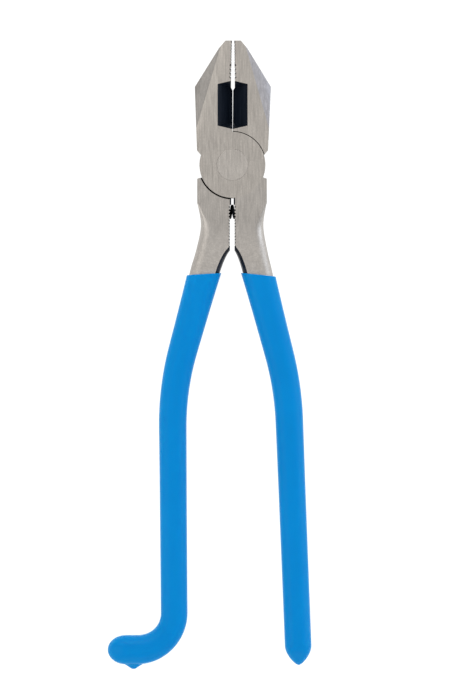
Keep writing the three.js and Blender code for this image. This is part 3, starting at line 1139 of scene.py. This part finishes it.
def tang_bar(side):
    """The loft of a tang and the whole core below it."""
    places = handle_places(side)
    mouth = walk(places[0], grip_mouth_distance[side])
    stations = tang_stations(side)
    stations += [handle_station(place, core_inset) for place in [mouth] + places[1:]]
    for run, share in end_shares(side):
        reach = run * (grip_half_width - core_inset) / grip_half_width - core_clearance
        stations.append(handle_station(walk(places[-1], reach), core_inset, share))
    bar = loft("tang_bar", stations)
    finish_with(bar, tang_steel)
    return bar


# %% [markdown]
# Between the tangs runs a narrow gap with fine teeth along both sides. Below it the inner sides
# flare out to the grips. The tool for a flare is a curved outline that is pulled up on a steep
# slant, and then once more on a flat one, which leaves a wide chamfer next to the face. Both still
# have their black skin.

# %% Gap and flare
flare_top_drop = 0.7
flare_top = tang_flare_place - flare_top_drop
flare_clearance = 0.25
flare_turn_drop = 0.26
flare_lead = 2.2
flare_wall_height = 4.0
flare_wall_slant = 0.4
flare_chamfer_slope = 0.8
flare_chamfer_rise = 3.5
flare_chamfer_tilt = math.radians(-7)
flare_curve_steps = 14


def gap_cutter(side):
    """The straight part of the gap: a slot at the joint, then the stretch with the spring."""
    outline = [
        (-side * past_middle, 0),
        (side * slot_gap, 0),
        (side * slot_gap, slot_end),
        (side * tang_gap[side], slot_end),
        (side * tang_gap[side], flare_top),
        (-side * past_middle, flare_top),
    ]
    cutter = plate("gap_cutter", outline, -beyond, joint_thickness + beyond)
    finish_with(cutter, oxide_steel)
    return cutter


def slot_step(side, face):
    """A shallow black step along the slot, where the belt did not reach."""
    edge = slot_gap + slot_step_width
    outline = [
        (-side * past_middle, 0),
        (side * edge, 0),
        (side * edge, slot_end),
        (-side * past_middle, slot_end),
    ]
    face_height = mid_plane + face * mid_plane
    low = face_height - face * slot_step_depth
    cutter = plate("slot_step", outline, low, face_height + face * cutter_lift)
    finish_with(cutter, oxide_steel)
    return cutter


def flare_outline(side):
    """A quadratic curve from the gap out to the core's inner side, closed past the middle."""
    mouth = handle_station(walk(handle_places(side)[0], grip_mouth_distance[side]), core_inset)
    x, y, heading, half_width = mouth[:4]
    end = Vector((
        x - side * (half_width * math.cos(heading) + flare_clearance),
        y - side * half_width * math.sin(heading),
    ))
    start = Vector((side * tang_gap[side], flare_top))
    turn = Vector(((start.x + end.x) / 2, start.y + flare_turn_drop * (end.y - start.y)))
    lead = start - (turn - start).normalized() * flare_lead
    outline = [tuple(lead)]
    for step in range(flare_curve_steps + 1):
        part = step / flare_curve_steps
        point = start * (1 - part) ** 2 + turn * 2 * part * (1 - part) + end * part ** 2
        outline.append(tuple(point))
    along = Vector((math.sin(heading), -math.cos(heading)))
    outline.append(tuple(end + along * flare_lead))
    outline.append((-side * past_middle, end.y - flare_lead))
    outline.append((-side * past_middle, lead.y))
    return outline


def flare_cutter(side):
    """The flare's tool: from half the thickness a wall to each face, then a chamfer."""
    wall_top = mid_plane + flare_wall_height
    wall_run = side * flare_wall_slant * MM
    lean = (side * flare_wall_slant, 0)
    cutter = plate("flare_cutter", flare_outline(side), mid_plane, wall_top, lean)
    bpy.ops.object.mode_set(mode="EDIT")
    for face in (1, -1):
        level = wall_top if face > 0 else mid_plane
        pick_faces(cutter, lambda middle, normal: abs(middle.z - level) < touch)
        if face < 0:
            move = (wall_run, 0, -flare_wall_height * MM)
            bpy.ops.mesh.extrude_region_move(TRANSFORM_OT_translate={"value": move})
        pivot = (0, flare_top * MM, (mid_plane + face * flare_wall_height) * MM)
        tilt = face * flare_chamfer_tilt
        bpy.ops.transform.rotate(value=tilt, orient_axis="X", center_override=pivot)
        chamfer_run = side * flare_chamfer_slope * flare_chamfer_rise * MM
        move = (chamfer_run, 0, face * flare_chamfer_rise * MM)
        bpy.ops.mesh.extrude_region_move(TRANSFORM_OT_translate={"value": move})
    bpy.ops.mesh.select_all(action="SELECT")
    bpy.ops.mesh.quads_convert_to_tris()
    bpy.ops.object.mode_set(mode="OBJECT")
    finish_with(cutter, oxide_steel)
    return cutter


# %% [markdown]
# The ends of the spring sit in a blind pocket in each tang.

# %% A whole tang
spring_place = -16.5
spring_radius = 2.6
spring_side_gap = 0.4
pocket_depth = 6.6
pocket_sides = 64


def spring_pocket(side):
    depth = tang_gap[side] + pocket_depth
    bpy.ops.object.select_all(action="DESELECT")
    bpy.ops.mesh.primitive_cylinder_add(
        vertices=pocket_sides,
        radius=(spring_radius + spring_side_gap) * MM,
        depth=depth * MM,
        location=(0, 0, 0),
        rotation=(0, math.pi / 2, 0),
    )
    drill = bpy.context.object
    bpy.ops.object.transform_apply(location=True, rotation=True, scale=True)
    edit_all()
    bpy.ops.transform.translate(value=(side * depth / 2 * MM, spring_place * MM, mid_plane * MM))
    bpy.ops.object.mode_set(mode="OBJECT")
    finish_with(drill, oxide_steel)
    return drill


def tang(side):
    """The shoulder plate and the lofted bar, joined, cut apart from the other tang, and toothed."""
    outline = [
        (-side * tang_inner_top, 0),
        (-side * tang_inner_top, tang_shoulder_end - shoulder_lap),
        (side * tang_shoulder[side], tang_shoulder_end - shoulder_lap),
        (side * tang_shoulder[side], tang_top),
    ]
    body = plate("tang", outline, 0, joint_thickness)
    finish_with(body, tang_steel)
    combine(body, tang_bar(side), "UNION")
    combine(body, gap_cutter(side), "DIFFERENCE")
    for face in (-1, 1):
        combine(body, slot_step(side, face), "DIFFERENCE")
    combine(body, flare_cutter(side), "DIFFERENCE")
    combine(body, spring_pocket(side), "DIFFERENCE")
    top = (side * tang_gap[side], slot_end - teeth_margin)
    bottom = (side * tang_gap[side], tang_flare_place + teeth_margin)
    cut_teeth(body, top, bottom, tang_tooth_pitch, tang_tooth_depth)
    return body


# %% [markdown]
# ## The lap joint
#
# Each half has a disc of half the thickness, and a round recess beside it in which the disc of the
# other half turns. The rivet goes through both: it is a bar that widens to a flush head at each
# face, so the same turned profile, a little larger, is also the tool for its hole.

# %% Discs and rivet bar
rivet_head_depth = 1.5
rivet_shank_radius = 4.2
rivet_fit = 0.03
disc_sides = 160
rivet_sides = 128


def disc(radius, low, high, finish_material):
    bpy.ops.object.select_all(action="DESELECT")
    bpy.ops.mesh.primitive_cylinder_add(
        vertices=disc_sides, radius=radius * MM, depth=(high - low) * MM, location=(0, 0, 0)
    )
    piece = bpy.context.object
    edit_all()
    bpy.ops.transform.translate(value=(0, 0, (low + high) / 2 * MM))
    bpy.ops.object.mode_set(mode="OBJECT")
    finish_with(piece, finish_material)
    return piece


def rivet_bar(fit, finish_material):
    """The rivet's solid: head, cone, shank, cone, head, pulled up ring by ring."""
    head = rivet_head_radius + fit
    shank = rivet_shank_radius + fit
    slope = rivet_head_radius - rivet_shank_radius
    bpy.ops.object.select_all(action="DESELECT")
    bpy.ops.mesh.primitive_circle_add(
        vertices=rivet_sides, radius=head * MM, fill_type="NGON", location=(0, 0, 0)
    )
    bar = bpy.context.object
    bar.name = "rivet_bar"
    edit_all()
    rises = [
        (rivet_head_depth, 1),
        (slope, shank / head),
        (joint_thickness - 2 * (rivet_head_depth + slope), 1),
        (slope, head / shank),
        (rivet_head_depth, 1),
    ]
    for rise, factor in rises:
        bpy.ops.mesh.extrude_region_move(TRANSFORM_OT_translate={"value": (0, 0, rise * MM)})
        bpy.ops.transform.resize(value=(factor, factor, 1))
    close_up()
    finish_with(bar, finish_material)
    return bar


# %% [markdown]
# ## The two halves
#
# A half is the jaw of one side, the tang of the other, and its disc in one layer of the lap. The
# recess is a trace wider in the tang than in the jaw, which shows as the wider seam.

# %% Forging
jaw_seam = 0.28
tang_seam = 0.55


def forging(name, jaw_side, layer):
    """One half of the tool; layer is 1 for the front disc and -1 for the back one."""
    tang_side = -jaw_side
    low = mid_plane + lap_gap / 2 if layer > 0 else 0
    high = joint_thickness if layer > 0 else mid_plane - lap_gap / 2
    other_low = -beyond if layer > 0 else high
    other_high = low if layer > 0 else joint_thickness + beyond
    body = jaw(jaw_side)
    jaw_recess = joint_radius + jaw_seam
    combine(body, disc(jaw_recess, other_low, other_high, oxide_steel), "DIFFERENCE")
    lower = tang(tang_side)
    tang_recess = joint_radius + tang_seam
    combine(lower, disc(tang_recess, other_low, other_high, oxide_steel), "DIFFERENCE")
    own_disc = disc(joint_radius, low, high, face_steel)
    combine(body, own_disc, "UNION")
    combine(body, lower, "UNION")
    combine(body, rivet_bar(rivet_fit, face_steel), "DIFFERENCE")
    body.name = name
    return body


back_forging = forging("back_half_forging", RIGHT, -1)
front_forging = forging("front_half_forging", LEFT, 1)
for half in (back_forging, front_forging):
    smooth(half)
    finishes = [slot.name for slot in half.material_slots]
    print(half.name, len(half.data.polygons), "faces", finishes)

# %% [markdown]
# ## The rivet
#
# Both heads were ground flush with the faces, so all that shows is a faint circle: the broken
# edge of the head. The rims are picked by their height and bevelled.

# %% Rivet
rivet_edge = 0.06
rim_reach = 0.1

rivet = rivet_bar(0, rivet_steel)
rivet.name = "rivet_body"
choose(rivet)
bpy.ops.object.mode_set(mode="EDIT")


def on_rim(first, second):
    outside = min(first.xy.length, second.xy.length) > rivet_head_radius - rim_reach
    level = abs(first.z - second.z) < touch
    at_a_face = not rim_reach < first.z < joint_thickness - rim_reach
    return outside and level and at_a_face


pick_edges(rivet, on_rim)
bpy.ops.mesh.bevel(offset=rivet_edge * MM, segments=2, profile=0.5)
bpy.ops.object.mode_set(mode="OBJECT")
smooth(rivet)

# %% [markdown]
# ## The return spring
#
# A compression spring lies across the gap, with its ends in the pockets. A small ring of wire is
# set at the coil's radius and wound by a Screw modifier about the X axis; its ends are then filled.

# %% Spring
spring_wire = 1.0
spring_turns = 8
wire_sides = 16
coil_steps = 28
merge_distance = 0.001
spring_low, spring_high = [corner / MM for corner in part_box("return_spring")]
spring_start = spring_low.x + spring_wire / 2
spring_length = spring_high.x - spring_low.x - spring_wire

bpy.ops.object.select_all(action="DESELECT")
bpy.ops.mesh.primitive_circle_add(
    vertices=wire_sides,
    radius=spring_wire / 2 * MM,
    location=(0, 0, 0),
)
spring = bpy.context.object
spring.name = "return_spring_coil"
edit_all()
bpy.ops.transform.translate(value=(0, (spring_radius - spring_wire / 2) * MM, 0))
bpy.ops.object.mode_set(mode="OBJECT")
coil = spring.modifiers.new("coil", "SCREW")
coil.axis = "X"
coil.iterations = spring_turns
coil.steps = coil_steps
coil.render_steps = coil_steps
coil.screw_offset = spring_length / spring_turns * MM
bpy.ops.object.modifier_apply(modifier=coil.name)
bpy.ops.object.mode_set(mode="EDIT")
bpy.ops.mesh.select_mode(type="VERT")
bpy.ops.mesh.select_all(action="SELECT")
bpy.ops.mesh.remove_doubles(threshold=merge_distance * MM)
bpy.ops.mesh.select_all(action="SELECT")
bpy.ops.transform.translate(value=(spring_start * MM, spring_place * MM, mid_plane * MM))
bpy.ops.mesh.select_all(action="DESELECT")
bpy.ops.mesh.select_non_manifold()
bpy.ops.mesh.fill_holes(sides=0)
close_up()
finish_with(spring, spring_steel)
smooth(spring, angle=40)
print("spring:", len(spring.data.polygons), "faces,", round(spring_length, 2), "mm long")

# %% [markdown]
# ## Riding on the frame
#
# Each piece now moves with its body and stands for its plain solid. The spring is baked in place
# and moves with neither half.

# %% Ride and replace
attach(back_forging, "hook_half")
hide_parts("back_half")
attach(front_forging, "straight_half")
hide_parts("front_half")
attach(rivet, "hook_half")
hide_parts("rivet")
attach(hook_grip, "hook_half")
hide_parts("hook_grip")
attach(straight_grip, "straight_half")
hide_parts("straight_grip")
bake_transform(spring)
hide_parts("return_spring")
